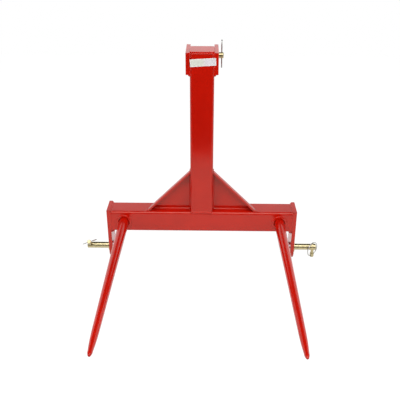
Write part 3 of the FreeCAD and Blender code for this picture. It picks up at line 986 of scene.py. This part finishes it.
@dataclass
class Studio:
    """The white floor and backdrop, the lamps and the camera.

    Attributes:
        floor_gap: How far the floor lies under the object.
        floor_front: Where the white floor ends in front.
        floor_back: Where it ends behind.
        floor_side: Where it ends to the left and the right.
        paper: How much light the floor throws back.
        shadow: How much of the lamps' light the white floor shows, so that it keeps a shadow.
        glow: How bright the white floor is without the lamps.
        backdrop_top: The sine of the backdrop's height above the horizon.
        backdrop_soft: Half the width of its top edge, on the same scale.
        backdrop_sides: The sines, towards the back, where its sides begin and are full.
        ceiling: How bright the room is above the backdrop.
        aim: What the lamps point at.
        lens: The camera's focal length, in millimetres.
        sensor: The camera's sensor width, in millimetres.
        nearest: How near to the camera a thing can be and still be seen.
        camera_place: Where the camera stands.
        pitch: How far it looks down, in degrees.
        yaw: How far it is turned to the right, in degrees.
        roll: How far it is rolled, in degrees.
    """

    floor_gap: float = 3 * MM
    floor_front: float = -1.0
    floor_back: float = 3.0
    floor_side: float = 3.0
    paper: float = 0.85
    shadow: float = 0.12
    glow: float = 0.97
    backdrop_top: float = 0.50
    backdrop_soft: float = 0.02
    backdrop_sides: tuple[float, float] = (-0.15, 0.05)
    ceiling: float = 0.03
    aim: tuple[float, float, float] = (0.0, 0.0, 0.2)
    lens: float = 53.1
    sensor: float = 36.0
    nearest: float = 0.05
    camera_place: tuple[float, float, float] = (0.019, -1.8281, 1.1391)
    pitch: float = 27.5
    yaw: float = -0.78
    roll: float = 0.14

    def build_floor(self) -> None:
        """Lays a pale floor that shows as white with a faint shadow, in reflections too."""
        low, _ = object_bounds()
        deselect()
        bpy.ops.mesh.primitive_plane_add(size=1.0)
        floor = bpy.context.object
        depth = self.floor_back - self.floor_front
        floor.scale = (2.0 * self.floor_side, depth, 1.0)
        floor.location = (0.0, self.floor_front + depth / 2.0, low.z - self.floor_gap)
        floor.name = "floor"
        material = bpy.data.materials.new("floor_paper")
        material.use_nodes = True
        tree = Tree(material.node_tree)
        rays = tree.add("ShaderNodeLightPath").outputs
        seen = Value(tree, rays["Is Camera Ray"])
        for ray in ("Is Glossy Ray", "Is Transmission Ray"):
            seen = seen.either(Value(tree, rays[ray]))
        paper = tree.add("ShaderNodeBsdfDiffuse", None, {"Color": grey(self.paper)})
        faint = tree.add("ShaderNodeBsdfDiffuse", None, {"Color": grey(self.shadow)})
        glow = {"Color": grey(1.0), "Strength": self.glow}
        white = tree.add("ShaderNodeEmission", None, glow)
        shaded = tree.add("ShaderNodeAddShader", None, {0: faint.outputs[0], 1: white.outputs[0]})
        shown = tree.add(
            "ShaderNodeMixShader", None, {0: seen, 1: paper.outputs[0], 2: shaded.outputs[0]}
        )
        tree.add("ShaderNodeOutputMaterial", None, {"Surface": shown.outputs[0]})
        floor.data.materials.append(material)
        floor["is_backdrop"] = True

    def build_world(self) -> None:
        """Makes the room: white to the eye, a white backdrop and a dimmer ceiling otherwise."""
        world = bpy.data.worlds.new("studio")
        world.use_nodes = True
        bpy.context.scene.world = world
        tree = Tree(world.node_tree)
        towards = tree.add("ShaderNodeTexCoord").outputs["Generated"]
        split = tree.add("ShaderNodeSeparateXYZ", None, {0: towards})
        up = Value(tree, split.outputs["Z"])
        back = Value(tree, split.outputs["Y"])
        seen = Value(tree, tree.add("ShaderNodeLightPath").outputs["Is Camera Ray"])
        edge = (self.backdrop_top - self.backdrop_soft, self.backdrop_top + self.backdrop_soft)
        backdrop = (1.0 - up.between(*edge)) * back.between(*self.backdrop_sides)
        level = backdrop * (1.0 - self.ceiling) + self.ceiling
        sky = tree.add("ShaderNodeBackground", None, {
            "Color": grey(1.0),
            "Strength": seen.either(level * (1.0 - seen)),
        })
        tree.add("ShaderNodeOutputWorld", None, {"Surface": sky.outputs[0]})

    def build_lamps(self) -> None:
        """Hangs a wide softbox overhead and a small one on each side."""
        Softbox(
            name="lamp_top", place=(0.0, -1.15, 2.3), target=self.aim, size=(3.2, 2.2), power=67.0
        ).build()
        for side, way in SIDES.items():
            Softbox(
                name=f"lamp_{side}",
                place=(way * 1.9, -1.5, 0.7),
                target=self.aim,
                size=(1.5, 1.1),
                power=13.5,
            ).build()

    def build_camera(self) -> None:
        """Stands the camera up: looking down at the head and along the tines."""
        pitch, yaw, roll = (math.radians(a) for a in (self.pitch, self.yaw, self.roll))
        ahead = Vector((
            math.sin(yaw) * math.cos(pitch),
            math.cos(yaw) * math.cos(pitch),
            -math.sin(pitch),
        ))
        right = Vector((math.cos(yaw), -math.sin(yaw), 0.0))
        upward = right.cross(ahead)
        rolled_right = right * math.cos(roll) + upward * math.sin(roll)
        rolled_up = upward * math.cos(roll) - right * math.sin(roll)
        lens = bpy.data.cameras.new("camera")
        lens.lens = self.lens
        lens.sensor_width = self.sensor
        lens.clip_start = self.nearest
        camera = bpy.data.objects.new("camera", lens)
        bpy.context.scene.collection.objects.link(camera)
        turn = Matrix((rolled_right, rolled_up, -ahead)).transposed()
        camera.matrix_world = Matrix.Translation(self.camera_place) @ turn.to_4x4()
        bpy.context.scene.camera = camera

    def build(self) -> None:
        """Builds the whole studio."""
        self.build_floor()
        self.build_world()
        self.build_lamps()
        self.build_camera()
        bpy.context.scene.view_settings.view_transform = "Standard"


def main() -> None:
    """Dresses the frame, adds the pieces that are not in the solids and sets up the studio."""
    logging.basicConfig(level=logging.INFO, format="%(name)s: %(message)s")
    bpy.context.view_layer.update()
    for assembly in (WeldedFrame(), Tines(), HitchPins(), Head(), Studio()):
        assembly.build()
        log.info("%s done", type(assembly).__name__)
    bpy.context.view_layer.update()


if __name__ == "__main__":
    main()
